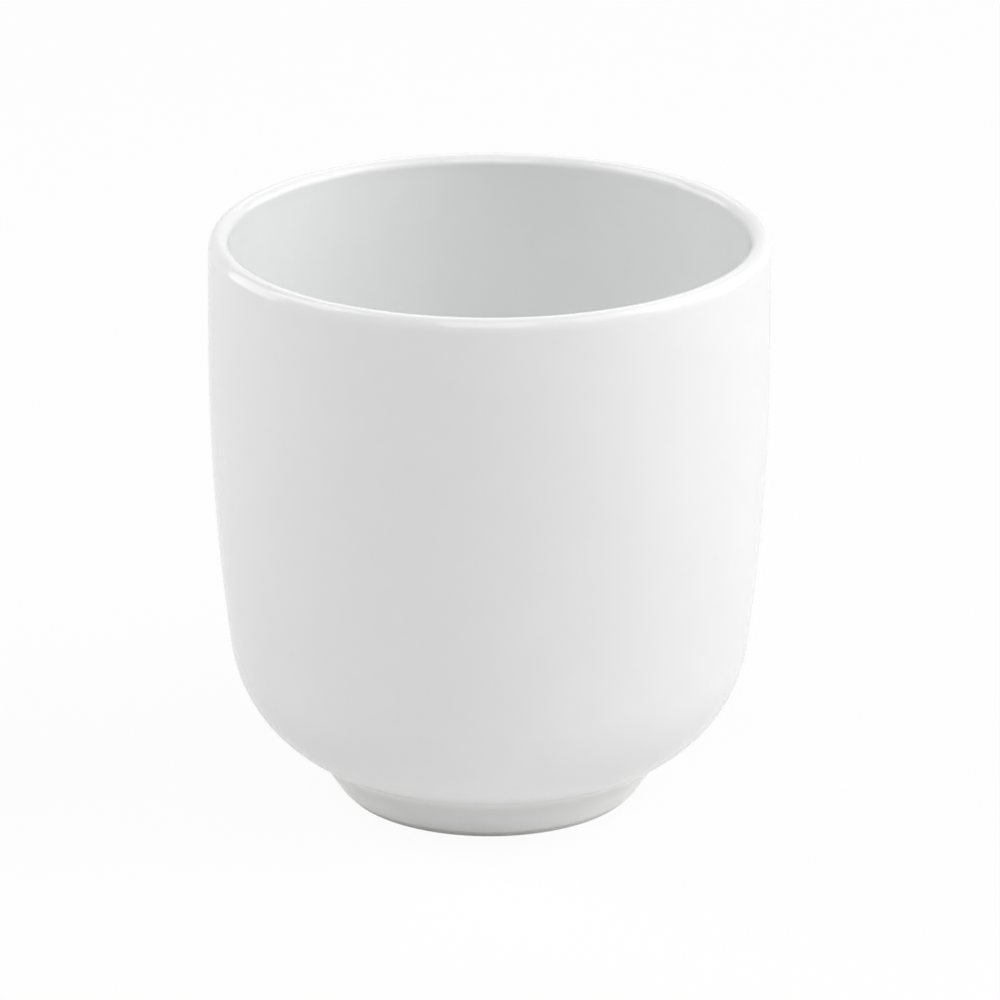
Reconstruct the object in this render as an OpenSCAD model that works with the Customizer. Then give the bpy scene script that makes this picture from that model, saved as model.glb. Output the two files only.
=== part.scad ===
// Plain porcelain cup without a handle, on a short foot that narrows towards the table.
// Millimetres, +Z up. The origin is the centre of the ring that the cup stands on.
// Every piece is turned about Z, so each module revolves one half section.
// A half section is worked out once, on the finished surface, and every piece takes
// it at its own depth: 0 is the face of the glaze, glaze_t is the clay under it.

/* [Cup] */
// Height from the table to the top of the lip
cup_h = 89; // [84:0.5:96]
// Diameter at the widest point
belly_d = 85; // [81:0.5:90]
// How far the rim stands in from the widest point, on each side
rim_draw = 0.15; // [0.05:0.05:2]
// Thickness of the wall with its glaze, which the round lip shares
wall_t = 3.1; // [2.4:0.1:4.2]
// How much tighter the top of the lip is than half the wall, on the outside
lip_tuck = 0.25; // [0.1:0.05:0.6]
// How far the lip's outer shoulder reaches below the round of its top
shoulder_drop = 0.85; // [0.3:0.05:2]

/* [Side] */
// Radius of the long arc of the side
side_arc_r = 350; // [260:5:480]
// How far the side leans in where it runs into the corner, in degrees
side_lean = 7.3; // [5.5:0.1:9]
// Radius of the corner between the side and the underside
corner_arc_r = 22; // [19:0.5:25]

/* [Floor] */
// Thickness of the floor with its glaze
floor_t = 3.8; // [3:0.1:5]
// Radius of the corner inside, between the wall and the floor
inner_corner_r = 18; // [12:0.5:20]

/* [Foot] */
// Height of the bowl's underside above the table, inside the foot
well_h = 4.9; // [3.5:0.1:8]
// Diameter at which the bowl turns into the foot
foot_top_d = 58; // [54:0.2:61]
// How far the foot narrows from there to the table, on each side
foot_taper = 6.4; // [4:0.1:9]
// Radius of the soft hollow between the bowl and the foot, over the height of its crease
hollow_share = 1; // [0.4:0.05:1.2]
// Width of the foot's bottom, from its outer to its inner edge
foot_w = 3; // [2.2:0.1:5]
// How far the inside of the foot leans in towards its top
well_draft = 0.8; // [0.2:0.1:2]
// Rounding of the two edges of the standing ring
stand_edge_r = 0.35; // [0.2:0.05:0.8]

/* [Glaze and slip] */
// Thickness of the glaze
glaze_t = 0.2; // [0.1:0.02:0.3]
// Height of bare porcelain left above the table
bare_h = 0.9; // [0.7:0.1:2]
// Radius of the glaze pooled in the corner of the foot well
pool_r = 1; // [0.4:0.1:2]
// Thickness of the slip between the bowl and the foot ring
slip_t = 0.35; // [0.2:0.05:0.6]

/* [Hidden] */

// Steps round the axis, and along each arc of the half section
$fn = 144;
lip_steps = 10;
lip_top_steps = 7;
shoulder_steps = 4;
rim_steps = 6;
side_steps = 14;
corner_steps = 20;
hollow_steps = 10;
edge_steps = 5;
seat_steps = 10;

// Point at an angle on a circle, in degrees, with 0 outwards and 90 upwards
function on_circle(c, r, a) = [c[0] + r * cos(a), c[1] + r * sin(a)];

// Arc without its first point, so that the next arc of an outline can follow on
function arc(c, r, from, to, steps) =
    [for (i = [1:steps]) on_circle(c, r, from + (to - from) * i / steps)];

function backwards(points) = [for (i = [len(points) - 1:-1:0]) points[i]];

// The side: a long arc from the widest point down, then the corner, as one smooth line
belly_r = belly_d / 2;
foot_top_r = foot_top_d / 2;
side_run = side_arc_r * (1 - cos(side_lean));
under_slope = asin(cos(side_lean) - (belly_r - foot_top_r - side_run) / corner_arc_r);
belly_z = well_h + corner_arc_r + (side_arc_r - corner_arc_r) * sin(side_lean);
side_c = [belly_r - side_arc_r, belly_z];
corner_c = on_circle(side_c, side_arc_r - corner_arc_r, -side_lean);
crease_z = corner_c[1] - corner_arc_r * cos(under_slope);

// The rim: an arc from the widest point up, to half the wall's thickness below the lip
rim_rise = cup_h - wall_t / 2 - belly_z;
rim_arc_r = (rim_rise * rim_rise + rim_draw * rim_draw) / (2 * rim_draw);
rim_c = [belly_r - rim_arc_r, belly_z];

// The lip outside: a shoulder, then a tighter top, each arc touching the next smoothly
lip_top_r = wall_t / 2 - lip_tuck;
shoulder_turn = 2 * atan(lip_tuck / shoulder_drop);
shoulder_r = lip_top_r + shoulder_drop / sin(shoulder_turn);
shoulder_reach = (shoulder_r - lip_top_r) * [cos(shoulder_turn), sin(shoulder_turn)];
lip_reach = [rim_arc_r - shoulder_r, 0] + shoulder_reach;
rim_lean = asin((cup_h - lip_top_r - belly_z) / norm(lip_reach))
    - atan2(lip_reach[1], lip_reach[0]);
shoulder_c = on_circle(rim_c, rim_arc_r - shoulder_r, rim_lean);
shoulder_top = rim_lean + shoulder_turn;
lip_top_c = on_circle(shoulder_c, shoulder_r - lip_top_r, shoulder_top);

// The lip inside: one arc from the same top to the rim's arc at the wall's depth
inner_rim_r = rim_arc_r - wall_t;
lip_top = [lip_top_c[0], cup_h] - rim_c;
inner_lip_r = (lip_top * lip_top - inner_rim_r * inner_rim_r)
    / (2 * (inner_rim_r + lip_top[1]));
inner_lip_c = rim_c + lip_top - [0, inner_lip_r];
inner_rim_lean = atan2(lip_top[1] - inner_lip_r, lip_top[0]);

// The foot: a straight wall from the table up to the hollow, touching it smoothly
hollow_r = hollow_share * crease_z;
hollow_c = on_circle(corner_c, corner_arc_r + hollow_r, under_slope - 90);
foot_p = [foot_top_r - foot_taper, 0];
foot_reach = hollow_c - foot_p;
foot_slope = atan2(foot_reach[1], foot_reach[0]) + asin(hollow_r / norm(foot_reach));

// The inside: the side at the wall's depth, a corner of its own and a flat floor
floor_z = well_h + floor_t;
inner_corner_z = floor_z + inner_corner_r;
inner_reach = side_arc_r - wall_t - inner_corner_r;
inner_lean = asin((belly_z - inner_corner_z) / inner_reach);
inner_corner_c = on_circle(side_c, inner_reach, -inner_lean);

// Outline from the top of the lip down the outside to the hollow, at a depth
function outside(depth) = concat(
    [on_circle(lip_top_c, lip_top_r - depth, 90)],
    arc(lip_top_c, lip_top_r - depth, 90, shoulder_top, lip_top_steps),
    arc(shoulder_c, shoulder_r - depth, shoulder_top, rim_lean, shoulder_steps),
    arc(rim_c, rim_arc_r - depth, rim_lean, 0, rim_steps),
    arc(side_c, side_arc_r - depth, 0, -side_lean, side_steps),
    arc(corner_c, corner_arc_r - depth, -side_lean, under_slope - 90, corner_steps)
);

// The hollow, from the bowl down to the wall of the foot
function hollow(depth) =
    arc(hollow_c, hollow_r + depth, under_slope + 90, foot_slope + 90, hollow_steps);

// Outline from the top of the lip down the inside to the middle of the floor
function inside(depth) = concat(
    [on_circle(inner_lip_c, inner_lip_r - depth, 90)],
    arc(inner_lip_c, inner_lip_r - depth, 90, 180 + inner_rim_lean, lip_steps),
    arc(rim_c, inner_rim_r + depth, inner_rim_lean, 0, rim_steps),
    arc(side_c, side_arc_r - wall_t + depth, 0, -inner_lean, side_steps),
    arc(inner_corner_c, inner_corner_r + depth, -inner_lean, -90, corner_steps),
    [[0, floor_z - depth]]
);

// Underside of the clay bowl: the corner's arc runs on under the foot, then lies flat
function under_z(r) = corner_c[1]
    - sqrt(pow(corner_arc_r - glaze_t, 2) - pow(max(0, r - corner_c[0]), 2));

// Where the foot ring is seated, from its inner to its outer edge
foot_top = on_circle(hollow_c, hollow_r + glaze_t, foot_slope + 90);
foot_run = foot_top[1] / tan(foot_slope);
stand_r = foot_top[0] - foot_run;
well_r = stand_r - foot_w;
seat_in_r = well_r - well_draft;
function seat_r(i) = seat_in_r + (foot_top[0] - seat_in_r) * i / seat_steps;
function bowl_seat(last) = [for (i = [0:last]) [seat_r(i), under_z(seat_r(i))]];
function ring_seat(last) = [for (i = [0:last]) [seat_r(i), under_z(seat_r(i)) - slip_t]];

// Inner wall of the foot: its tilt from upright, and its radius at a height
well_top_z = under_z(seat_in_r) - slip_t;
well_tilt = atan(well_draft / well_top_z);
function well_wall_r(z, depth) = well_r - z * tan(well_tilt) - depth / cos(well_tilt);

// Rounded edges of the standing ring
stand_outer_c = [stand_r - stand_edge_r * tan(foot_slope / 2), stand_edge_r];
stand_inner_c = [well_r + stand_edge_r * tan(45 - well_tilt / 2), stand_edge_r];

// Lower edges of the two coats of glaze, cut square to the wall that they lie on
outer_edge = [foot_p[0] + bare_h / tan(foot_slope), bare_h];
function outer_glaze_edge(depth) = on_circle(outer_edge, depth, foot_slope + 90);
well_edge = [well_wall_r(bare_h, 0), bare_h];
function well_glaze_edge(depth) = on_circle(well_edge, depth, 180 + well_tilt);

// Face of the glaze in the foot well, which follows the clay, and the pool in its corner
well_dome = under_z(seat_in_r) - under_z(0);
function well_face_z(r) = under_z(0) - glaze_t + well_dome * r / seat_in_r;
pool_z = well_face_z(seat_in_r - pool_r) - pool_r;
pool_c = [well_wall_r(pool_z, glaze_t + pool_r), pool_z];

// Clay of the bowl: wall, lip and floor in one
module porcelain_bowl()
    color([0.94, 0.93, 0.91])
    rotate_extrude()
    polygon(concat(
        bowl_seat(seat_steps),
        backwards(outside(glaze_t)),
        [for (i = [1:len(inside(glaze_t)) - 1]) inside(glaze_t)[i]],
        [[0, under_z(0)]]
    ));

// Clay of the foot: a ring of its own, bare where it stands
module foot_ring()
    color([0.90, 0.89, 0.86])
    rotate_extrude()
    polygon(concat(
        ring_seat(seat_steps - 1),
        [foot_top],
        [on_circle(stand_outer_c, stand_edge_r, foot_slope - 90)],
        arc(stand_outer_c, stand_edge_r, foot_slope - 90, -90, edge_steps),
        [on_circle(stand_inner_c, stand_edge_r, -90)],
        arc(stand_inner_c, stand_edge_r, -90, -180 + well_tilt, edge_steps)
    ));

// Slip that joins the two, drawn out into the hollow
module joint_slip()
    color([0.87, 0.86, 0.83])
    rotate_extrude()
    polygon(concat(
        ring_seat(seat_steps - 1),
        backwards(hollow(glaze_t)),
        [on_circle(corner_c, corner_arc_r - glaze_t, under_slope - 90)],
        backwards(bowl_seat(seat_steps))
    ));

// Coat that was dipped: the outer half of the lip, the side and the wall of the foot
module outer_glaze()
    color([0.97, 0.97, 0.97])
    rotate_extrude()
    polygon(concat(
        outside(0),
        hollow(0),
        [outer_glaze_edge(0), outer_glaze_edge(glaze_t)],
        backwards(concat(outside(glaze_t), hollow(glaze_t)))
    ));

// Coat that was poured: the inner half of the lip, the wall and the floor
module inner_glaze()
    color([0.95, 0.97, 0.96])
    rotate_extrude()
    polygon(concat(inside(0), backwards(inside(glaze_t))));

// Coat under the floor, inside the foot
module foot_well_glaze()
    color([0.96, 0.97, 0.97])
    rotate_extrude()
    polygon(concat(
        [[0, under_z(0)]],
        [bowl_seat(0)[0], ring_seat(0)[0]],
        [well_edge, well_glaze_edge(glaze_t)],
        [on_circle(pool_c, pool_r, well_tilt)],
        arc(pool_c, pool_r, well_tilt, 90, edge_steps),
        [[0, well_face_z(0)]]
    ));

porcelain_bowl();
foot_ring();
joint_slip();
outer_glaze();
inner_glaze();
foot_well_glaze();
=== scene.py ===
"""Looks of a plain porcelain cup without a handle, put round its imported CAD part.

The cup is turned about Z, so each new piece is one half section carried round that axis.
Lengths are in metres and angles in radians.
"""

import math

import bpy
import numpy as np
from bpy.props import FloatProperty, FloatVectorProperty, IntProperty, PointerProperty
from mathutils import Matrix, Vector


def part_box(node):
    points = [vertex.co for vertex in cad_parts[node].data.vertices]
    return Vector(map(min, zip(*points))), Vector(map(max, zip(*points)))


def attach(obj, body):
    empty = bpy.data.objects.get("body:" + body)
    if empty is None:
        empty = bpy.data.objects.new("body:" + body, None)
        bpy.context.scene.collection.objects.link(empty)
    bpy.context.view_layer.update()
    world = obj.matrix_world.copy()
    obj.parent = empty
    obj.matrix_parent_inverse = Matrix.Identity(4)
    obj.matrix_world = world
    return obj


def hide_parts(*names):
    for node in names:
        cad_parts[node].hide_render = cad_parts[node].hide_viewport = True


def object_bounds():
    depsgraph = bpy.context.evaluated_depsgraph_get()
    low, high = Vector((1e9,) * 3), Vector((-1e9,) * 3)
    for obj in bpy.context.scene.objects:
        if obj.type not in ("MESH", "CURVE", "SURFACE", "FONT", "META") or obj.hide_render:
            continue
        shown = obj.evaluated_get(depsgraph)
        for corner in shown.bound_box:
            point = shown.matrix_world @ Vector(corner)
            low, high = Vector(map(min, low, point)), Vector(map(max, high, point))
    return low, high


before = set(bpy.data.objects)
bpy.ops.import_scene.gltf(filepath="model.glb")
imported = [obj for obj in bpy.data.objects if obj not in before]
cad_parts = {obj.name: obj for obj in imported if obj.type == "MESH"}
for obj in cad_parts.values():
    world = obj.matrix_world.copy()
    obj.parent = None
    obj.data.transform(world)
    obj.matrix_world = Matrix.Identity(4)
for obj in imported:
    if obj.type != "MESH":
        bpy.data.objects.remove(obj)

bl_info = {
    "name": "Porcelain cup",
    "version": (1, 0, 0),
    "blender": (4, 5, 0),
    "location": "3D View > Sidebar > Cup",
    "description": "Glaze, bare porcelain and studio for a cup without a handle",
    "category": "Object",
}

CAD_BOX = [list(corner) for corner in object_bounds()]
BELLY_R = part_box("outer_glaze")[1].y
BODY = "root"
MM = 0.001

# Least faces along each small round, to one length of its radius (the lip's, for its shoulder)
ROUND_FACES = {
    "hollow": 24, "lip": 14, "shoulder": 10, "inner_lip": 16, "pool": 10, "standing_edge": 8,
}
# Points along the quarter round at the lower edge of a coat, and across the foot's seat
EDGE_POINTS = 7
SEAT_POINTS = 14


class CupSizes(bpy.types.PropertyGroup):
    """Sizes of the cup. They repeat the part's own, so the new pieces lie where its solids do."""

    cup_height: FloatProperty(
        name="Cup height", description="From the table to the top of the lip",
        default=CAD_BOX[1][2], unit="LENGTH")
    belly_diameter: FloatProperty(
        name="Belly diameter", description="Diameter at the widest point",
        default=2 * BELLY_R, unit="LENGTH")
    rim_draw: FloatProperty(
        name="Rim draw", description="How far the rim stands in from the widest point",
        default=0.15 * MM, unit="LENGTH")
    wall_thickness: FloatProperty(
        name="Wall thickness", description="Wall with its glaze, which the round lip shares",
        default=3.1 * MM, unit="LENGTH")
    lip_tuck: FloatProperty(
        name="Lip tuck", description="How much tighter the lip's top is than half the wall",
        default=0.25 * MM, unit="LENGTH")
    shoulder_drop: FloatProperty(
        name="Shoulder drop", description="How far the lip's shoulder reaches below its top",
        default=0.85 * MM, unit="LENGTH")
    side_radius: FloatProperty(
        name="Side radius", description="Radius of the long arc of the side",
        default=350 * MM, unit="LENGTH")
    side_lean: FloatProperty(
        name="Side lean", description="How far the side leans in where it meets the corner",
        default=math.radians(7.3), unit="ROTATION")
    corner_radius: FloatProperty(
        name="Corner radius", description="Radius between the side and the underside",
        default=22 * MM, unit="LENGTH")
    floor_thickness: FloatProperty(
        name="Floor thickness", description="Floor with its glaze",
        default=3.8 * MM, unit="LENGTH")
    inner_corner_radius: FloatProperty(
        name="Inner corner radius", description="Radius inside, between wall and floor",
        default=18 * MM, unit="LENGTH")
    well_height: FloatProperty(
        name="Well height", description="Underside of the bowl above the table, in the foot",
        default=4.9 * MM, unit="LENGTH")
    foot_top_diameter: FloatProperty(
        name="Foot top diameter", description="Diameter where the bowl turns into the foot",
        default=58 * MM, unit="LENGTH")
    foot_taper: FloatProperty(
        name="Foot taper", description="How far the foot narrows to the table, on each side",
        default=6.4 * MM, unit="LENGTH")
    hollow_share: FloatProperty(
        name="Hollow share", default=1,
        description="Radius of the hollow above the foot, over the height of its crease")
    foot_width: FloatProperty(
        name="Foot width", description="Width of the foot's bottom",
        default=3 * MM, unit="LENGTH")
    well_draft: FloatProperty(
        name="Well draft", description="How far the inside of the foot leans in at its top",
        default=0.8 * MM, unit="LENGTH")
    stand_edge_radius: FloatProperty(
        name="Standing edge radius", description="Rounding of the standing ring's two edges",
        default=0.35 * MM, unit="LENGTH")
    glaze_thickness: FloatProperty(
        name="Glaze thickness", description="Thickness of the glaze",
        default=0.2 * MM, unit="LENGTH")
    bare_height: FloatProperty(
        name="Bare height", description="Bare porcelain left above the table",
        default=0.9 * MM, unit="LENGTH")
    pool_radius: FloatProperty(
        name="Pool radius", description="Glaze pooled in the corner of the foot well",
        default=1 * MM, unit="LENGTH")
    slip_thickness: FloatProperty(
        name="Slip thickness", description="Slip between the bowl and the foot ring",
        default=0.35 * MM, unit="LENGTH")
    edge_roll: FloatProperty(
        name="Edge roll", description="How much the glaze swells just above its lower edge",
        default=0.05 * MM, unit="LENGTH")
    ripple: FloatProperty(
        name="Ripple", description="Depth of the slow waves in the face of the glaze",
        default=0.03 * MM, unit="LENGTH")
    around: IntProperty(
        name="Steps around", description="Faces in one turn of a piece", default=256)
    face_step: FloatProperty(
        name="Face step", description="Longest face along a visible section",
        default=0.9 * MM, unit="LENGTH")
    back_step: FloatProperty(
        name="Back step", description="Longest face along a hidden section",
        default=3 * MM, unit="LENGTH")


class CupColours(bpy.types.PropertyGroup):
    """Colours and gloss of the cup, in linear light."""

    outer_glaze: FloatVectorProperty(
        name="Outer glaze", description="Clear gloss over white", subtype="COLOR", size=3,
        default=(0.86, 0.86, 0.86))
    inner_glaze: FloatVectorProperty(
        name="Inner glaze", description="The same glaze, a little thicker and cooler",
        subtype="COLOR", size=3, default=(0.878, 0.892, 0.886))
    lip_glaze: FloatVectorProperty(
        name="Lip glaze", description="The poured glaze on the lip, where the coats meet",
        subtype="COLOR", size=3, default=(0.87, 0.87, 0.868))
    # Partly the tone of thin glaze at an edge, partly painted light: low on the foot's outer wall
    # it lightens the glaze
    thin_glaze_and_painted_light: FloatVectorProperty(
        name="Thin glaze and painted light", description="Glaze drawn back from an edge, and painted light low on the foot",
        subtype="COLOR", size=3, default=(0.935, 0.938, 0.905))
    pooled_glaze: FloatVectorProperty(
        name="Pooled glaze", description="Glaze where it gathers in a corner",
        subtype="COLOR", size=3, default=(0.82, 0.84, 0.83))
    # Painted shade: a darker glaze tone in the hollow above the foot, where shade falls
    crease_painted_shade: FloatVectorProperty(
        name="Crease painted shade", description="Painted shade in the hollow above the foot",
        subtype="COLOR", size=3, default=(0.805, 0.808, 0.785))
    bare: FloatVectorProperty(
        name="Bare porcelain", description="Unglazed ring that the cup stands on",
        subtype="COLOR", size=3, default=(0.90, 0.885, 0.85))
    ground: FloatVectorProperty(
        name="Ground grey", description="Marks that the table leaves on the bare ring",
        subtype="COLOR", size=3, default=(0.52, 0.50, 0.47))
    clay: FloatVectorProperty(
        name="Clay", description="Fired clay under the glaze", subtype="COLOR", size=3,
        default=(0.80, 0.785, 0.75))
    slip: FloatVectorProperty(
        name="Slip", description="Fired slip under the glaze", subtype="COLOR", size=3,
        default=(0.77, 0.75, 0.71))
    speck: FloatVectorProperty(
        name="Speck", description="The few iron specks in the glaze", subtype="COLOR",
        size=3, default=(0.50, 0.46, 0.41))
    gloss_roughness: FloatProperty(
        name="Glaze roughness", description="Roughness of the glaze",
        default=0.1, min=0, max=1, subtype="FACTOR")
    bare_roughness: FloatProperty(
        name="Bare roughness", description="Roughness of bare porcelain",
        default=0.62, min=0, max=1, subtype="FACTOR")


class CupStudio(bpy.types.PropertyGroup):
    """Camera, lights and floor. The panels' powers keep nearly all of the cup below white."""

    distance: FloatProperty(
        name="Camera distance", description="From the camera to the middle of the cup",
        default=1.0, unit="LENGTH")
    elevation: FloatProperty(
        name="Camera elevation", description="Angle of the camera above the horizon",
        default=math.radians(20.1), unit="ROTATION")
    lens: FloatProperty(
        name="Lens", description="Focal length in millimetres on the sensor", default=236)
    sensor: FloatProperty(
        name="Sensor", description="Width of the sensor in millimetres", default=36)
    shift_x: FloatProperty(
        name="Shift X", description="Share of the frame the picture moves across",
        default=0.0104)
    shift_y: FloatProperty(
        name="Shift Y", description="Share of the frame the picture moves up",
        default=0.0104)
    floor_size: FloatProperty(
        name="Floor size", description="Side of the square floor", default=8,
        unit="LENGTH")
    room_light: FloatProperty(
        name="Room light", description="Even light from all round", default=0.1)
    panel_size: FloatProperty(
        name="Panel size", description="Side of each square light panel", default=0.8,
        unit="LENGTH")
    panel_reach: FloatProperty(
        name="Panel reach", description="From the middle of the cup to each panel",
        default=1.3, unit="LENGTH")
    left_power: FloatProperty(
        name="Left panel", description="Watts of the high panel on the left",
        default=5.6, unit="POWER")
    left_low_power: FloatProperty(
        name="Left low panel", description="Watts of the low panel behind on the left",
        default=4, unit="POWER")
    front_power: FloatProperty(
        name="Front panel", description="Watts of the high panel over the camera",
        default=4.8, unit="POWER")
    right_front_power: FloatProperty(
        name="Right front panel", description="Watts of the high panel ahead on the right",
        default=3.8, unit="POWER")
    right_side_power: FloatProperty(
        name="Right side panel", description="Watts of the panel halfway up on the right",
        default=3.8, unit="POWER")
    right_power: FloatProperty(
        name="Right panel", description="Watts of the high panel on the right",
        default=3.3, unit="POWER")
    right_low_power: FloatProperty(
        name="Right low panel", description="Watts of the low panel behind on the right",
        default=3.7, unit="POWER")
    back_power: FloatProperty(
        name="Back panel", description="Watts of the high panel behind the cup",
        default=1.8, unit="POWER")
    floor_dull: FloatVectorProperty(
        name="Floor, duller", description="One end of the floor's faint clouds",
        subtype="COLOR", size=3, default=(0.87, 0.87, 0.87))
    floor_clean: FloatVectorProperty(
        name="Floor, cleaner", description="The other end of the floor's faint clouds",
        subtype="COLOR", size=3, default=(0.89, 0.89, 0.89))
    white_seen: FloatProperty(
        name="White seen", description="Share of plain white in the floor, to the camera",
        default=0.93, min=0, max=1, subtype="FACTOR")
    white_mirrored: FloatProperty(
        name="White mirrored", description="The same share in the gloss, beside the cup",
        default=0.45, min=0, max=1, subtype="FACTOR")
    shade_core: FloatProperty(
        name="Shade core", description="How far from the axis the gloss shows it in full",
        default=0.1, unit="LENGTH")
    shade_reach: FloatProperty(
        name="Shade reach", description="How far from the axis the gloss shows any shade",
        default=0.4, unit="LENGTH")


def arc(centre, radius, start, end, facing, step):
    """Arc of a half section: the centre plus the radius times (cos a, sin a).

    The angle a runs evenly from start to end, 0 being outwards and a quarter turn upwards.
    A row holds r, z and the normal's r and z; facing is 1 for normals that leave the
    centre and -1 for normals that point at it.
    """
    count = 2 + int(radius * abs(end - start) / step)
    a = np.linspace(start, end, count)
    turn = np.stack([np.cos(a), np.sin(a)], axis=1)
    return np.hstack([np.asarray(centre) + radius * turn, facing * turn])


def straight(start, end, facing, step):
    """Straight stretch of a half section: start plus a share of the way to the end.

    Its normals are the way turned a quarter left, times facing.
    """
    start, end = np.asarray(start), np.asarray(end)
    way = end - start
    length = np.hypot(*way)
    share = np.linspace(0, 1, 2 + int(length / step))[:, None]
    normal = facing * np.array([-way[1], way[0]]) / length
    return np.hstack([start + share * way, np.tile(normal, (len(share), 1))])


def chain(*stretches):
    """Stretches end to end, each without its first row, which the one before it holds."""
    return np.vstack([stretches[0]] + [rows[1:] for rows in stretches[1:]])


def sunk(rows, depth):
    """Points of a stretch moved in from the face: the point less depth times its normal."""
    return rows[:, :2] - depth * rows[:, 2:]


def run_of(points):
    """Length along a line of points, from its first point."""
    steps = np.hypot(*np.diff(points, axis=0).T)
    return np.concatenate([[0], np.cumsum(steps)])


def on_circle(centre, radius, angle):
    """One point of a half section: the centre plus the radius times (cos, sin) of the angle."""
    return np.asarray(centre) + radius * np.array([math.cos(angle), math.sin(angle)])


class HalfSection:
    """The cup's half section on the face of the glaze, from the driving sizes.

    Names that end in _r are radii, those in _z heights and those in _c circles' centres.
    """

    def __init__(self, sizes):
        self.sizes = sizes
        self.lay_out_side()
        self.lay_out_rim()
        self.lay_out_foot()
        self.lay_out_inside()

    def lay_out_side(self):
        """A long arc from the widest point down, then the corner, touching it smoothly."""
        s = self.sizes
        self.belly_r = s.belly_diameter / 2
        foot_top_r = s.foot_top_diameter / 2
        side_run = s.side_radius * (1 - math.cos(s.side_lean))
        drop = (self.belly_r - foot_top_r - side_run) / s.corner_radius
        self.under_slope = math.asin(math.cos(s.side_lean) - drop)
        rise = (s.side_radius - s.corner_radius) * math.sin(s.side_lean)
        self.belly_z = s.well_height + s.corner_radius + rise
        self.side_c = (self.belly_r - s.side_radius, self.belly_z)
        self.corner_c = on_circle(
            self.side_c, s.side_radius - s.corner_radius, -s.side_lean)
        self.crease_z = self.corner_c[1] - s.corner_radius * math.cos(self.under_slope)

    def lay_out_rim(self):
        """The rim's arc, the lip's shoulder and top outside, and one arc for it inside.

        The rim's arc stands in by rim_draw at the lip. The shoulder's circle touches it from
        within, and the lip's top circle touches the shoulder's, at the angle that brings the
        top to the cup's height. Inside, one circle touches the wall's face and the level top.
        """
        s = self.sizes
        rise = s.cup_height - s.wall_thickness / 2 - self.belly_z
        self.rim_arc_r = (rise ** 2 + s.rim_draw ** 2) / (2 * s.rim_draw)
        self.rim_c = np.array([self.belly_r - self.rim_arc_r, self.belly_z])
        self.lip_top_r = s.wall_thickness / 2 - s.lip_tuck
        turn = 2 * math.atan(s.lip_tuck / s.shoulder_drop)
        self.shoulder_r = self.lip_top_r + s.shoulder_drop / math.sin(turn)
        inward = self.shoulder_r - self.lip_top_r
        reach = on_circle((self.rim_arc_r - self.shoulder_r, 0), inward, turn)
        level = s.cup_height - self.lip_top_r - self.belly_z
        self.rim_lean = math.asin(level / np.hypot(*reach)) - math.atan2(*reach[::-1])
        self.shoulder_c = on_circle(
            self.rim_c, self.rim_arc_r - self.shoulder_r, self.rim_lean)
        self.shoulder_top = self.rim_lean + turn
        self.lip_top_c = on_circle(self.shoulder_c, inward, self.shoulder_top)
        self.inner_rim_r = self.rim_arc_r - s.wall_thickness
        top = np.array([self.lip_top_c[0], s.cup_height]) - self.rim_c
        self.inner_lip_r = (top @ top - self.inner_rim_r ** 2) / (
            2 * (self.inner_rim_r + top[1]))
        self.inner_lip_c = self.rim_c + top - np.array([0, self.inner_lip_r])
        self.inner_rim_lean = math.atan2(top[1] - self.inner_lip_r, top[0])

    def lay_out_foot(self):
        """The hollow, the foot's two walls and the centres of the standing ring's edges.

        The hollow's circle touches the corner's from below. The outer wall is the line up
        from the foot's bottom that touches the hollow's circle.
        """
        s = self.sizes
        self.hollow_r = s.hollow_share * self.crease_z
        self.hollow_c = on_circle(
            self.corner_c, s.corner_radius + self.hollow_r,
            self.under_slope - math.pi / 2)
        self.foot_r = s.foot_top_diameter / 2 - s.foot_taper
        reach = self.hollow_c - np.array([self.foot_r, 0])
        self.foot_slope = math.atan2(reach[1], reach[0]) + math.asin(
            self.hollow_r / np.hypot(*reach))
        self.seat_out = on_circle(
            self.hollow_c, self.hollow_r + s.glaze_thickness,
            self.foot_slope + math.pi / 2)
        stand_r = self.seat_out[0] - self.seat_out[1] / math.tan(self.foot_slope)
        self.well_r = stand_r - s.foot_width
        self.seat_in_r = self.well_r - s.well_draft
        well_top_z = self.under_z(self.seat_in_r) - s.slip_thickness
        self.well_tilt = math.atan(s.well_draft / well_top_z)
        edge = s.stand_edge_radius
        self.stand_outer_c = (stand_r - edge * math.tan(self.foot_slope / 2), edge)
        self.stand_inner_c = (
            self.well_r + edge * math.tan(math.pi / 4 - self.well_tilt / 2), edge)

    def lay_out_inside(self):
        """The side at the wall's depth, a corner of its own and a flat floor."""
        s = self.sizes
        self.floor_z = s.well_height + s.floor_thickness
        reach = s.side_radius - s.wall_thickness - s.inner_corner_radius
        self.inner_lean = math.asin(
            (self.belly_z - self.floor_z - s.inner_corner_radius) / reach)
        self.inner_corner_c = on_circle(self.side_c, reach, -self.inner_lean)

    def under_z(self, r):
        """Height of the clay bowl's underside: the corner's circle, then flat inside it."""
        s = self.sizes
        over = np.maximum(0, r - self.corner_c[0])
        clay_r = s.corner_radius - s.glaze_thickness
        return self.corner_c[1] - np.sqrt(clay_r ** 2 - over ** 2)

    def well_wall(self, z, depth):
        """Point beside the inner wall of the foot, at height z and a depth of glaze from it.

        r falls by z times the tilt's tangent, and by the depth over the tilt's cosine.
        """
        r = self.well_r - z * math.tan(self.well_tilt) - depth / math.cos(self.well_tilt)
        return np.array([r, z])

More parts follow.
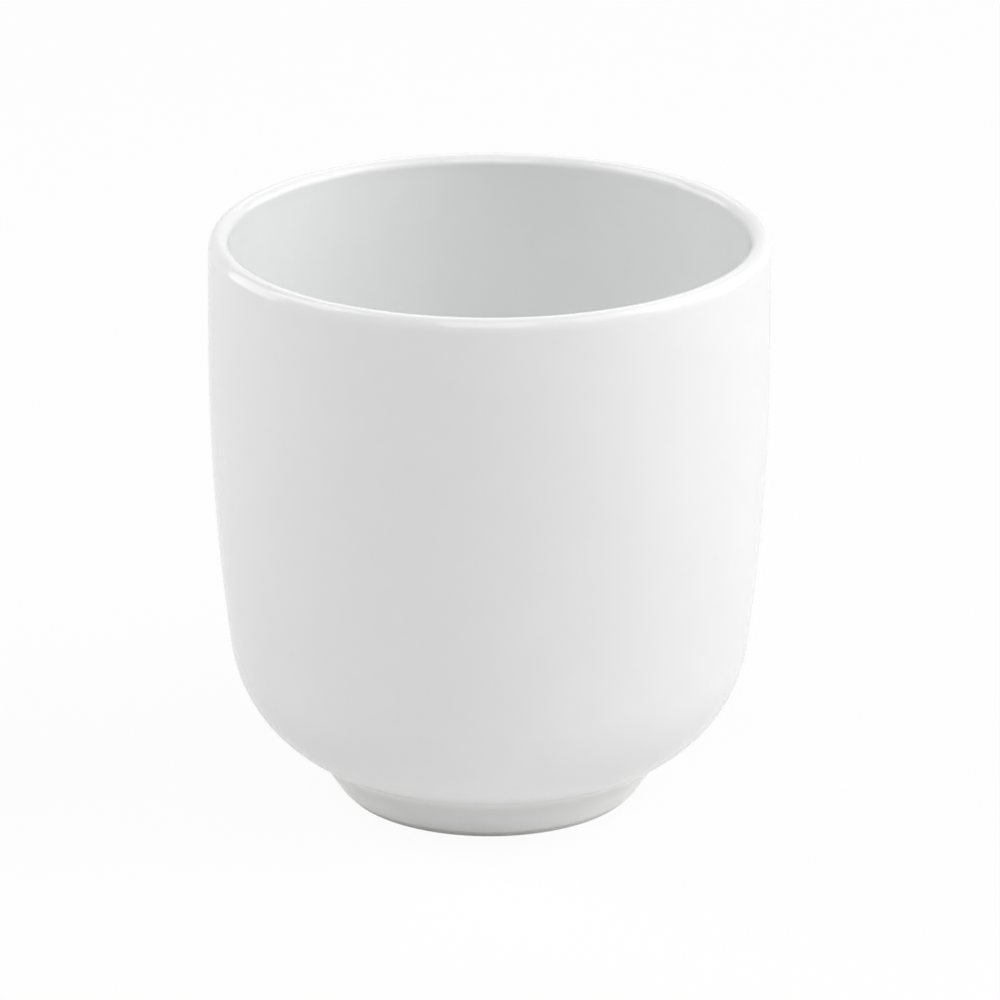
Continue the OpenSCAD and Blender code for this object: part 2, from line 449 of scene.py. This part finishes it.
    def outside(self, step):
        """From the top of the lip down the outside to the lower edge of the glaze."""
        s = self.sizes
        quarter = math.pi / 2
        edge = np.array([
            self.foot_r + s.bare_height / math.tan(self.foot_slope), s.bare_height])
        hollow = arc(
            self.hollow_c, self.hollow_r, self.under_slope + quarter,
            self.foot_slope + quarter, -1,
            min(step, self.hollow_r / ROUND_FACES["hollow"]))
        return chain(
            arc(self.lip_top_c, self.lip_top_r, quarter, self.shoulder_top, 1,
                self.lip_top_r / ROUND_FACES["lip"]),
            arc(self.shoulder_c, self.shoulder_r, self.shoulder_top, self.rim_lean, 1,
                self.lip_top_r / ROUND_FACES["shoulder"]),
            arc(self.rim_c, self.rim_arc_r, self.rim_lean, 0, 1, step),
            arc(self.side_c, s.side_radius, 0, -s.side_lean, 1, step),
            arc(self.corner_c, s.corner_radius, -s.side_lean,
                self.under_slope - quarter, 1, step),
            hollow,
            straight(hollow[-1, :2], edge, 1, min(step, s.glaze_thickness)),
        )

    def inside(self, step):
        """From the top of the lip down the inside to the middle of the floor."""
        s = self.sizes
        quarter = math.pi / 2
        corner = arc(
            self.inner_corner_c, s.inner_corner_radius, -self.inner_lean, -quarter,
            -1, step)
        return chain(
            arc(self.inner_lip_c, self.inner_lip_r, quarter,
                math.pi + self.inner_rim_lean, 1,
                self.inner_lip_r / ROUND_FACES["inner_lip"]),
            arc(self.rim_c, self.inner_rim_r, self.inner_rim_lean, 0, -1, step),
            arc(self.side_c, s.side_radius - s.wall_thickness, 0, -self.inner_lean,
                -1, step),
            corner,
            straight(corner[-1, :2], (0, self.floor_z), -1, step),
        )


def ripple(angle, run, depth, waves=7, most_turns=8, slowest=30, fastest=160, seed=7):
    """Slow waves in the glaze: the mean of a few sines, each from 0 to 1, times the depth.

    A sine's phase is the angle times its turns, plus the run times its slope, plus its own
    start. The turns are whole, from 1 to most_turns, so the waves close on themselves.
    The slope runs from slowest to fastest, in radians to a metre.
    """
    draw = np.random.default_rng(seed)
    turns = draw.integers(1, most_turns + 1, waves)
    slope = draw.uniform(slowest, fastest, waves)
    start = draw.uniform(0, 2 * math.pi, waves)
    phase = angle[None, :, None] * turns + run[:, None, None] * slope + start
    return depth * (1 + np.sin(phase).mean(axis=2)) / 2


def turned(points, around):
    """Section points carried round Z: (r cos t, r sin t, z) for each step t of one turn.

    The points are one line for the whole turn, or a grid with a line for each step.
    """
    t = np.arange(around) * 2 * math.pi / around
    lines = points.reshape(len(points), -1, 2)
    r, z = np.moveaxis(np.broadcast_to(lines, (len(points), around, 2)), 2, 0)
    return np.stack([r * np.cos(t), r * np.sin(t), z], axis=2)


def ring_faces(rows, around, closed):
    """Four-sided faces between each row of a turned grid and the next, as vertex numbers."""
    low = np.arange(rows if closed else rows - 1)
    high = (low + 1) % rows
    step = np.arange(around)
    after = (step + 1) % around
    corners = [
        low[:, None] * around + step, low[:, None] * around + after,
        high[:, None] * around + after, high[:, None] * around + step,
    ]
    return np.stack(corners, axis=2).reshape(-1, 4)


def sharp_rows(points, closed, limit=math.radians(35)):
    """Which rows of a section turn by more than the limit, so that shading breaks there."""
    way = np.diff(np.vstack([points, points[:1]]), axis=0)
    before = np.roll(way, 1, axis=0)
    dot = (way * before).sum(axis=1)
    cross = way[:, 0] * before[:, 1] - way[:, 1] * before[:, 0]
    sharp = np.abs(np.arctan2(cross, dot)) > limit
    if not closed:
        sharp[[0, -1]] = False
    return sharp


def turned_mesh(name, grid, section, closed):
    """Mesh of a turned grid whose section is a loop, or a line from axis to axis.

    On an open line the first and last rows are single points on the axis, so the faces
    beside them are triangles.
    """
    rows, around = grid.shape[:2]
    corners = ring_faces(rows, around, closed)
    points = grid.reshape(-1, 3)
    row_of = np.repeat(np.arange(rows), around)
    if closed:
        faces = corners.tolist()
    else:
        number = np.arange(rows * around) - (around - 1)
        number[:around] = 0
        number[-around:] = (rows - 2) * around + 1
        corners = number[corners]
        kept = slice(around - 1, rows * around - around + 1)
        points, row_of = points[kept], row_of[kept]
        faces = [
            *corners[:around, 1:].tolist(), *corners[around:-around].tolist(),
            *corners[-around:, :3].tolist()]
    mesh = bpy.data.meshes.new(name)
    mesh.from_pydata(points.tolist(), [], faces)
    mesh.polygons.foreach_set("use_smooth", np.ones(len(mesh.polygons), bool))
    ends = np.empty(2 * len(mesh.edges), np.int32)
    mesh.edges.foreach_get("vertices", ends)
    first, second = row_of[ends.reshape(-1, 2)].T
    sharp = (first == second) & sharp_rows(section, closed)[first]
    mesh.attributes.new("sharp_edge", "BOOLEAN", "EDGE").data.foreach_set("value", sharp)
    mesh.update()
    return mesh


def place(name, mesh, finish, slot, *nodes):
    """Puts a finished piece in the scene, riding on the cup and standing for its nodes."""
    piece = bpy.data.objects.new(name, mesh)
    bpy.context.scene.collection.objects.link(piece)
    mesh.materials.append(finish)
    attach(piece, BODY)
    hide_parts(*nodes)


def faced(rows, run, sizes, swell=0):
    """Grid of a glaze face: each section row carried round and sunk by the ripple there.

    Nearer to the axis than the inner corner's radius, the waves are multiplied by the
    distance over that radius, so that the middle stays one point. The swell, one number
    for each row, lifts the face again.
    """
    t = np.arange(sizes.around) * 2 * math.pi / sizes.around
    fade = np.clip(rows[:, :1] / sizes.inner_corner_radius, 0, 1)
    depth = ripple(t, run, sizes.ripple) * fade - np.reshape(swell, (-1, 1))
    points = rows[:, None, :2] - depth[:, :, None] * rows[:, None, 2:]
    return turned(points, sizes.around)


def lip_strip(rows, thickness):
    """The rows with a level first step at the top of the lip, so both coats meet smoothly.

    The step is a twentieth of the glaze's thickness.
    """
    away = np.sign(rows[1, 0] - rows[0, 0])
    start = rows[0].copy()
    start[0] += away * thickness / 20
    return np.vstack([rows[:1], start[None], rows[1:]])


def outer_coat(section):
    """Outer coat: the outside's face, a quarter-round lower edge and the back on the clay.

    The edge's radius is t, the glaze's thickness, so the face stops 1.2 t short of its end.
    The face swells just above its edge by edge_roll times exp(-(distance / 4 t) squared).
    """
    sizes = section.sizes
    t = sizes.glaze_thickness
    rows = lip_strip(section.outside(sizes.face_step), t)
    run = run_of(rows[:, :2])
    kept = run < run[-1] - 1.2 * t
    face, face_run = rows[kept], run[kept]
    from_edge = (run[-1] - face_run) / (4 * t)
    swell = sizes.edge_roll * np.exp(-from_edge ** 2)
    last_step = rows[-1, :2] - rows[-2, :2]
    down = last_step / np.hypot(*last_step)
    a = np.linspace(0, math.pi / 2, EDGE_POINTS)[:, None]
    edge = rows[-1, :2] - down * t + down * t * np.sin(a) - rows[-1, 2:] * t * (1 - np.cos(a))
    back = sunk(section.outside(sizes.back_step), t)[::-1][1:]
    grid = np.vstack([
        faced(face, face_run, sizes, swell), turned(edge, sizes.around),
        turned(back, sizes.around)])
    loop = np.vstack([face[:, :2], edge, back])
    return turned_mesh("outer_glaze_coat", grid, loop, closed=True)


def inner_coat(section):
    """Inner coat: up from the middle of the floor to the lip on the face, back on the clay."""
    sizes = section.sizes
    rows = lip_strip(section.inside(sizes.face_step), sizes.glaze_thickness)
    run = -run_of(rows[:, :2])
    back = sunk(section.inside(sizes.back_step), sizes.glaze_thickness)
    grid = np.vstack([faced(rows, run, sizes)[::-1], turned(back, sizes.around)])
    line = np.vstack([rows[::-1, :2], back])
    return turned_mesh("inner_glaze_coat", grid[::-1], line[::-1], closed=False)


def well_coat(section):
    """Coat in the foot well: its face, the pool's quarter round, the wall and its edge.

    The face rises in a straight line from the middle, as much as the clay does.
    """
    sizes = section.sizes
    t, pool = sizes.glaze_thickness, sizes.pool_radius
    step = 2 * t
    seat_in_z = section.under_z(section.seat_in_r)
    roof_z = section.under_z(0) - t
    dome = seat_in_z - section.under_z(0)
    pool_z = roof_z + dome * (1 - pool / section.seat_in_r) - pool
    pool_c = section.well_wall(pool_z, t + pool)
    quarter = math.pi / 2
    round_in = arc(
        pool_c, pool, quarter, section.well_tilt, -1, pool / ROUND_FACES["pool"])
    low = section.well_wall(sizes.bare_height, 0)
    high = section.well_wall(seat_in_z - sizes.slip_thickness, 0)
    down = np.array([math.sin(section.well_tilt), -math.cos(section.well_tilt)])
    inward = np.array([-math.cos(section.well_tilt), -math.sin(section.well_tilt)])
    a = np.linspace(0, quarter, EDGE_POINTS)[:, None]
    edge = low - down * t + down * t * np.sin(a) + inward * t * np.cos(a)
    line = np.vstack([
        straight((0, roof_z), pool_c + np.array([0, pool]), -1, step)[:, :2],
        round_in[1:, :2],
        straight(round_in[-1, :2], edge[0], 1, step)[1:-1, :2],
        edge,
        straight(edge[-1], high, 1, step)[1:, :2],
        [[section.seat_in_r, seat_in_z]],
        [[0, section.under_z(0)]],
    ])
    return turned_mesh("foot_well_coat", turned(line, sizes.around), line, closed=False)


def bare_ring(section):
    """Clay foot ring: its seat, its outer wall, and two rounded edges beside a flat bottom."""
    sizes = section.sizes
    quarter = math.pi / 2
    edge = sizes.stand_edge_radius
    fine = edge / ROUND_FACES["standing_edge"]
    seat_r = np.linspace(section.seat_in_r, section.seat_out[0], SEAT_POINTS)
    seat = np.stack([seat_r, section.under_z(seat_r) - sizes.slip_thickness], axis=1)
    outer = arc(
        section.stand_outer_c, edge, section.foot_slope - quarter, -quarter, 1, fine)
    inner = arc(
        section.stand_inner_c, edge, -quarter, -math.pi + section.well_tilt, 1, fine)
    loop = np.vstack([
        seat[:-1],
        straight(section.seat_out, outer[0, :2], 1, edge)[:, :2],
        outer[1:, :2],
        straight(outer[-1, :2], inner[0, :2], 1, edge)[1:, :2],
        inner[1:, :2],
        straight(inner[-1, :2], seat[0], 1, edge)[1:-1, :2],
    ])
    return turned_mesh("bare_foot_ring", turned(loop, sizes.around), loop, closed=True)


class Value:
    """An output of a node: a number, point, colour or shader that changes over a surface.

    A sum on it adds a Math node to its nodes.
    """

    def __init__(self, nodes, socket):
        self.nodes = nodes
        self.socket = socket

    def beside(self, name):
        """Another output of the same node."""
        return Value(self.nodes, self.socket.node.outputs[name])

    def work(self, operation, first, second):
        """The result of a Math node on two values or numbers."""
        return self.nodes.add(
            "ShaderNodeMath", {"operation": operation}, {0: first, 1: second})

    def __add__(self, other):
        return self.work("ADD", self, other)

    def __radd__(self, other):
        return self.work("ADD", other, self)

    def __sub__(self, other):
        return self.work("SUBTRACT", self, other)

    def __rsub__(self, other):
        return self.work("SUBTRACT", other, self)

    def __mul__(self, other):
        return self.work("MULTIPLY", self, other)

    def __rmul__(self, other):
        return self.work("MULTIPLY", other, self)

    def __truediv__(self, other):
        return self.work("DIVIDE", self, other)

    def __pow__(self, other):
        return self.work("POWER", self, other)

    def greatest(self, other):
        """The greater of this value and the other."""
        return self.work("MAXIMUM", self, other)

    def between(self, low, high):
        """0 at low, 1 at high and a smooth step from one to the other."""
        return self.nodes.add(
            "ShaderNodeMapRange", {"interpolation_type": "SMOOTHSTEP"},
            {"Value": self, "From Min": low, "From Max": high})


class Nodes:
    """The nodes of one material or world."""

    def __init__(self, owner):
        owner.use_nodes = True
        self.tree = owner.node_tree
        self.tree.nodes.clear()

    def add(self, kind, settings=None, inputs=None, output=0):
        """A node of that kind: its settings are set first, then its sockets.

        Gives the output asked for by number or name, or nothing from a node without any.
        """
        node = self.tree.nodes.new(kind)
        for key, value in (settings or {}).items():
            setattr(node, key, value)
        for key, value in (inputs or {}).items():
            if isinstance(value, Value):
                self.tree.links.new(value.socket, node.inputs[key])
            else:
                node.inputs[key].default_value = value
        return Value(self, node.outputs[output]) if len(node.outputs) else None

    def own_point(self):
        """The point in the object's own coordinates, in metres."""
        return self.add("ShaderNodeTexCoord", output="Object")

    def parts_of(self, point):
        """X, Y and Z of a point as three values."""
        x = self.add("ShaderNodeSeparateXYZ", inputs={0: point})
        return x, x.beside("Y"), x.beside("Z")

    def noise(self, point, scale, detail=2, roughness=0.5):
        """Clouds from 0 to 1, about scale of them to a metre."""
        return self.add("ShaderNodeTexNoise", inputs={
            "Vector": point, "Scale": scale, "Detail": detail, "Roughness": roughness})

    def blend(self, share, first, second):
        """The first colour, turning into the second as share goes from 0 to 1.

        Inputs 6 and 7 and output 2 are the node's colours.
        """
        return self.add(
            "ShaderNodeMix", {"data_type": "RGBA"}, {0: share, 6: first, 7: second},
            output=2)

    def bump(self, height, depth, over=None):
        """Normals as if the face rose by depth where height is 1, on top of those of over."""
        inputs = {"Strength": 1, "Distance": depth, "Height": height}
        if over is not None:
            inputs["Normal"] = over
        return self.add("ShaderNodeBump", inputs=inputs)


def opaque(colour, factor=1):
    """A colour times a factor, at most white, with the full fourth part a node wants."""
    return (*[min(1, part * factor) for part in colour], 1)


def from_axis(x, y):
    """Distance from the cup's axis: the square root of x squared plus y squared."""
    return (x * x + y * y) ** 0.5


def specks(nodes, point, spacing, largest, share, smallest=0.35, core=0.55):
    """1 inside a few tiny round specks and 0 elsewhere.

    Space is cut into cells about one spacing wide. A share of the cells has a speck at
    its own point. A number of the cell's own draws its radius, between smallest times
    the largest and the largest. Beyond core times its radius the speck fades out.
    """
    away = nodes.add(
        "ShaderNodeTexVoronoi", inputs={"Scale": 1 / spacing, "Vector": point})
    chance, size, _ = nodes.parts_of(away.beside("Color"))
    there = 1 - chance.between(share * 0.98, share)
    radius = (smallest + size * (1 - smallest)) * largest
    inside = 1 - (away * spacing / radius).between(core, 1)
    return inside * there


def glaze(name, main, colours, edge_tone_at, thin, darker_tone_at, pooled):
    """Clear gloss over white: cloudy tone, a few specks, an edge tone and a darker tone, soft
    peel.

    The two tones' places come from two functions of r and z, giving 0 to 1, each followed by the
    colour that the glaze takes where it gives 1. On the inner coat and in the foot well these are
    thin, lip and pooled glaze. On the outer coat the edge tone is thin glaze and painted light
    low on the foot, and the darker tone is painted shade in the hollow above the foot. The
    roughness wanders by up to a quarter.
    """
    finish = bpy.data.materials.new(name)
    nodes = Nodes(finish)
    point = nodes.own_point()
    x, y, z = nodes.parts_of(point)
    r = from_axis(x, y)
    broad = nodes.noise(point, scale=38, detail=3).between(0.25, 0.75)
    fine = nodes.noise(point, scale=210).between(0.3, 0.7)
    tone = nodes.blend(
        broad * 0.7 + fine * 0.3, opaque(main, factor=0.985), opaque(main, factor=1.012))
    tone = nodes.blend(edge_tone_at(r, z), tone, opaque(thin))
    tone = nodes.blend(darker_tone_at(r, z), tone, opaque(pooled))
    speck = specks(nodes, point, spacing=11 * MM, largest=0.22 * MM, share=0.16)
    tone = nodes.blend(speck * 0.5, tone, opaque(colours.speck))
    uneven = 0.75 + 0.5 * nodes.noise(point, scale=90, detail=4)
    peel = nodes.bump(nodes.noise(point, scale=420), depth=0.012 * MM)
    pinholes = specks(nodes, point, spacing=17 * MM, largest=0.12 * MM, share=0.2)
    pitted = nodes.bump(1 - pinholes, depth=0.04 * MM, over=peel)
    shader = nodes.add("ShaderNodeBsdfPrincipled", inputs={
        "Base Color": tone, "Roughness": colours.gloss_roughness * uneven, "IOR": 1.5,
        "Normal": pitted})
    nodes.add("ShaderNodeOutputMaterial", inputs={"Surface": shader})
    return finish


def fired_clay(name, main, colours, grain):
    """Matt fired clay: mottled tone and a fine grain in colour, roughness and height."""
    finish = bpy.data.materials.new(name)
    nodes = Nodes(finish)
    point = nodes.own_point()
    mottle = nodes.noise(point, scale=120, detail=4)
    grit = nodes.noise(point, scale=1 / grain, detail=3, roughness=0.65)
    tone = nodes.blend(mottle * 0.6 + grit * 0.4, opaque(main, factor=0.93), opaque(main))
    shader = nodes.add("ShaderNodeBsdfPrincipled", inputs={
        "Base Color": tone, "Roughness": colours.bare_roughness + grit * 0.25,
        "Normal": nodes.bump(grit, depth=0.03 * MM)})
    nodes.add("ShaderNodeOutputMaterial", inputs={"Surface": shader})
    return finish


def ground_ring(name, colours, line_stretch=9):
    """Bare porcelain, ground where it stands: grain, grinding lines and the table's marks.

    The lines run round the ring, because r counts line_stretch times as much as x and y.
    """
    finish = bpy.data.materials.new(name)
    nodes = Nodes(finish)
    point = nodes.own_point()
    x, y, z = nodes.parts_of(point)
    r = from_axis(x, y)
    low = 1 - z.between(0.02 * MM, 0.15 * MM)
    across = nodes.add(
        "ShaderNodeCombineXYZ", inputs={"X": r * line_stretch, "Y": x, "Z": y})
    lines = nodes.noise(across, scale=700, detail=3, roughness=0.6)
    grit = nodes.noise(point, scale=2600, detail=3, roughness=0.7)
    mottle = nodes.noise(point, scale=160, detail=3)
    tone = nodes.blend(
        mottle * 0.5 + grit * 0.5, opaque(colours.bare, factor=0.92),
        opaque(colours.bare))
    rubbed = low * lines.between(0.5, 0.78) * mottle.between(0.35, 0.65)
    tone = nodes.blend(rubbed * 0.55, tone, opaque(colours.ground))
    roughness = colours.bare_roughness + grit * 0.2 - low * 0.14
    height = grit * 0.6 + low * lines * 0.8
    shader = nodes.add("ShaderNodeBsdfPrincipled", inputs={
        "Base Color": tone, "Roughness": roughness,
        "Normal": nodes.bump(height, depth=0.02 * MM)})
    nodes.add("ShaderNodeOutputMaterial", inputs={"Surface": shader})
    return finish


class CUP_OT_outer_glaze(bpy.types.Operator):
    """Makes the coat that was dipped: outer half of the lip, side and wall of the foot"""

    bl_idname = "cup.outer_glaze"
    bl_label = "Outer glaze"

    def execute(self, context):
        section, colours = HalfSection(context.scene.cup_sizes), context.scene.cup_colours
        crease_z = section.crease_z

        def edge_tone_at(r, z):
            """Low on the foot's wall, where the glaze has drawn back: also painted light there.
            """
            return 1 - z.between(1.6 * MM, 4.6 * MM)

        def darker_tone_at(r, z):
            """Painted shade in the hollow above the foot, from just under the crease."""
            under = 1 - z.between(crease_z * 0.78, crease_z * 0.98)
            return under * z.between(crease_z * 0.45, crease_z * 0.74)

        # The outer coat carries painted shade in the hollow above the foot and painted light low
        # on the foot
        finish = glaze(
            "Outer glaze", colours.outer_glaze, colours, edge_tone_at, colours.thin_glaze_and_painted_light,
            darker_tone_at, colours.crease_painted_shade)
        place(
            "outer_glaze_coat", outer_coat(section), finish, "outer_glaze", "outer_glaze")
        return {"FINISHED"}


class CUP_OT_inner_glaze(bpy.types.Operator):
    """Makes the coat that was poured: inner half of the lip, inner wall and floor"""

    bl_idname = "cup.inner_glaze"
    bl_label = "Inner glaze"

    def execute(self, context):
        section, colours = HalfSection(context.scene.cup_sizes), context.scene.cup_colours
        top, floor = section.sizes.cup_height, section.floor_z

        def edge_tone_at(r, z):
            """On the lip, where it comes near the tone of the outer coat."""
            return z.between(top - 4 * MM, top - 1 * MM)

        def darker_tone_at(r, z):
            """On the floor and up its corner."""
            return (1 - z.between(floor, floor + 14 * MM)) * 0.45

        finish = glaze(
            "Inner glaze", colours.inner_glaze, colours, edge_tone_at, colours.lip_glaze,
            darker_tone_at, colours.pooled_glaze)
        place(
            "inner_glaze_coat", inner_coat(section), finish, "inner_glaze", "inner_glaze")
        return {"FINISHED"}


class CUP_OT_well_glaze(bpy.types.Operator):
    """Makes the coat under the floor, inside the foot"""

    bl_idname = "cup.well_glaze"
    bl_label = "Foot well glaze"

    def execute(self, context):
        section, colours = HalfSection(context.scene.cup_sizes), context.scene.cup_colours
        pool, corner_r = section.sizes.pool_radius, section.seat_in_r
        roof = section.sizes.well_height

        def edge_tone_at(r, z):
            """Just above its lower edge."""
            return 1 - z.between(1.1 * MM, 2.2 * MM)

        def darker_tone_at(r, z):
            """In the corner between the foot's wall and the floor."""
            high = z.between(roof - 1.5 * pool, roof - pool / 2)
            return r.between(corner_r - 2.5 * pool, corner_r - pool) * high * 0.8

        finish = glaze(
            "Foot well glaze", colours.outer_glaze, colours, edge_tone_at,
            colours.thin_glaze_and_painted_light, darker_tone_at, colours.pooled_glaze)
        place(
            "foot_well_coat", well_coat(section), finish, "foot_well_glaze",
            "foot_well_glaze")
        return {"FINISHED"}


class CUP_OT_foot_ring(bpy.types.Operator):
    """Makes the clay ring that the cup stands on, bare where it stands"""

    bl_idname = "cup.foot_ring"
    bl_label = "Foot ring"

    def execute(self, context):
        section = HalfSection(context.scene.cup_sizes)
        finish = ground_ring("Bare porcelain", context.scene.cup_colours)
        place("bare_foot_ring", bare_ring(section), finish, "bare_porcelain", "foot_ring")
        return {"FINISHED"}


class CUP_OT_clay(bpy.types.Operator):
    """Finishes the clay bowl and its slip, which lie under the glaze"""

    bl_idname = "cup.clay"
    bl_label = "Clay and slip"

    def execute(self, context):
        colours = context.scene.cup_colours
        finishes = {
            "porcelain_bowl": fired_clay(
                "Fired clay", colours.clay, colours, grain=0.4 * MM),
            "joint_slip": fired_clay(
                "Fired slip", colours.slip, colours, grain=0.25 * MM),
        }
        for name, finish in finishes.items():
            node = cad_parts[name]
            node.data.materials.clear()
            node.data.materials.append(finish)
        return {"FINISHED"}


# Bearing and height angle of each light panel, in degrees
PANELS = {
    "left": (-90, 45), "left_low": (-110, 12), "front": (0, 45),
    "right_front": (60, 45), "right_side": (85, 25), "right": (100, 45),
    "right_low": (115, 12), "back": (180, 45),
}


def panel_light(name, bearing, height, reach, size, power):
    """A square light panel aimed at the cup's middle.

    Its place is the middle plus reach times (sin b cos h, -cos b cos h, sin h), where the
    bearing b runs from the camera's side towards the right and h is the height angle.
    """
    middle = Vector((0, 0, bpy.context.scene.cup_sizes.cup_height / 2))
    away = Vector((
        math.sin(bearing) * math.cos(height),
        -math.cos(bearing) * math.cos(height), math.sin(height)))
    lamp = bpy.data.lights.new(name, "AREA")
    lamp.shape = "SQUARE"
    lamp.size = size
    lamp.energy = power
    holder = bpy.data.objects.new(name, lamp)
    holder.location = middle + reach * away
    holder.rotation_euler = away.to_track_quat("Z", "Y").to_euler()
    bpy.context.scene.collection.objects.link(holder)


def seen_directly(nodes, seen=1, mirrored=1):
    """For camera rays seen, for mirror and see-through rays mirrored, for the others 0."""
    camera = nodes.add("ShaderNodeLightPath", output="Is Camera Ray")
    glossy = camera.beside("Is Glossy Ray")
    through = camera.beside("Is Transmission Ray")
    return (camera * seen).greatest(glossy.greatest(through) * mirrored)


class CUP_OT_studio(bpy.types.Operator):
    """Sets the camera, the white floor and room, and the soft panels round the cup"""

    bl_idname = "cup.studio"
    bl_label = "Studio"

    def execute(self, context):
        scene, studio = context.scene, context.scene.cup_studio
        self.set_camera(scene, studio)
        self.set_room(scene, studio)
        self.lay_floor(scene, studio)
        for name, (bearing, height) in PANELS.items():
            panel_light(
                name + "_panel", math.radians(bearing), math.radians(height),
                studio.panel_reach, studio.panel_size, getattr(studio, name + "_power"))
        scene.view_settings.view_transform = "Standard"
        return {"FINISHED"}

    def set_camera(self, scene, studio):
        """The camera looks along +Y and down by its elevation, at the cup's middle."""
        tilt = studio.elevation
        optics = bpy.data.cameras.new("camera")
        optics.lens = studio.lens
        optics.sensor_width = studio.sensor
        optics.shift_x = studio.shift_x
        optics.shift_y = studio.shift_y
        camera = bpy.data.objects.new("camera", optics)
        camera.location = (
            0, -studio.distance * math.cos(tilt),
            scene.cup_sizes.cup_height / 2 + studio.distance * math.sin(tilt))
        camera.rotation_euler = (math.pi / 2 - tilt, 0, 0)
        scene.collection.objects.link(camera)
        scene.camera = camera

    def set_room(self, scene, studio):
        """A world that shows white, and lights the cup evenly at the room's own level."""
        world = bpy.data.worlds.new("room")
        scene.world = world
        nodes = Nodes(world)
        seen = seen_directly(nodes)
        white = opaque((1, 1, 1))
        shown = nodes.add("ShaderNodeBackground", inputs={
            "Color": white, "Strength": 1})
        light = nodes.add("ShaderNodeBackground", inputs={
            "Color": white, "Strength": studio.room_light})
        both = nodes.add("ShaderNodeMixShader", inputs={0: seen, 1: light, 2: shown})
        nodes.add("ShaderNodeOutputWorld", inputs={"Surface": both})

    def lay_floor(self, scene, studio):
        """A pale floor: matt white, and mostly plain white where it is seen directly.

        In the gloss of the cup the share of plain white grows with the distance from it.
        """
        half = studio.floor_size / 2
        mesh = bpy.data.meshes.new("floor")
        mesh.from_pydata(
            [(-half, -half, 0), (half, -half, 0), (half, half, 0), (-half, half, 0)], [],
            [(0, 1, 2, 3)])
        floor = bpy.data.objects.new("floor", mesh)
        scene.collection.objects.link(floor)
        finish = bpy.data.materials.new("Pale floor")
        nodes = Nodes(finish)
        point = nodes.own_point()
        tone = nodes.blend(
            nodes.noise(point, scale=3, detail=3), opaque(studio.floor_dull),
            opaque(studio.floor_clean))
        matt = nodes.add("ShaderNodeBsdfDiffuse", inputs={"Color": tone})
        white = nodes.add("ShaderNodeEmission", inputs={"Strength": 1})
        x, y, _ = nodes.parts_of(point)
        far = from_axis(x, y).between(studio.shade_core, studio.shade_reach)
        mirrored = far.greatest(studio.white_mirrored)
        share = seen_directly(nodes, studio.white_seen, mirrored)
        both = nodes.add("ShaderNodeMixShader", inputs={0: share, 1: matt, 2: white})
        nodes.add("ShaderNodeOutputMaterial", inputs={"Surface": both})
        mesh.materials.append(finish)


class CUP_PT_panel(bpy.types.Panel):
    """Lists the cup's sizes, colours, studio and steps"""

    bl_label = "Porcelain cup"
    bl_idname = "CUP_PT_panel"
    bl_space_type = "VIEW_3D"
    bl_region_type = "UI"
    bl_category = "Cup"

    def draw(self, context):
        for key in GROUPS:
            group = getattr(context.scene, key)
            box = self.layout.box()
            for name in group.bl_rna.properties.keys():
                if name not in ("rna_type", "name"):
                    box.prop(group, name)
        for step in STEPS:
            self.layout.operator(step.bl_idname)


GROUPS = {"cup_sizes": CupSizes, "cup_colours": CupColours, "cup_studio": CupStudio}
STEPS = (
    CUP_OT_outer_glaze, CUP_OT_inner_glaze, CUP_OT_well_glaze, CUP_OT_foot_ring,
    CUP_OT_clay, CUP_OT_studio,
)
CLASSES = (*GROUPS.values(), *STEPS, CUP_PT_panel)


def register():
    """Registers the classes and hangs the groups of settings on the scene."""
    for kind in CLASSES:
        bpy.utils.register_class(kind)
    for name, group in GROUPS.items():
        setattr(bpy.types.Scene, name, PointerProperty(type=group))


def unregister():
    """Takes away what register put there, in the opposite order."""
    for name in GROUPS:
        delattr(bpy.types.Scene, name)
    for kind in reversed(CLASSES):
        bpy.utils.unregister_class(kind)


def main():
    register()
    bpy.ops.cup.outer_glaze()
    bpy.ops.cup.inner_glaze()
    bpy.ops.cup.well_glaze()
    bpy.ops.cup.foot_ring()
    bpy.ops.cup.clay()
    bpy.ops.cup.studio()
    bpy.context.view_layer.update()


if __name__ == "__main__":
    main()
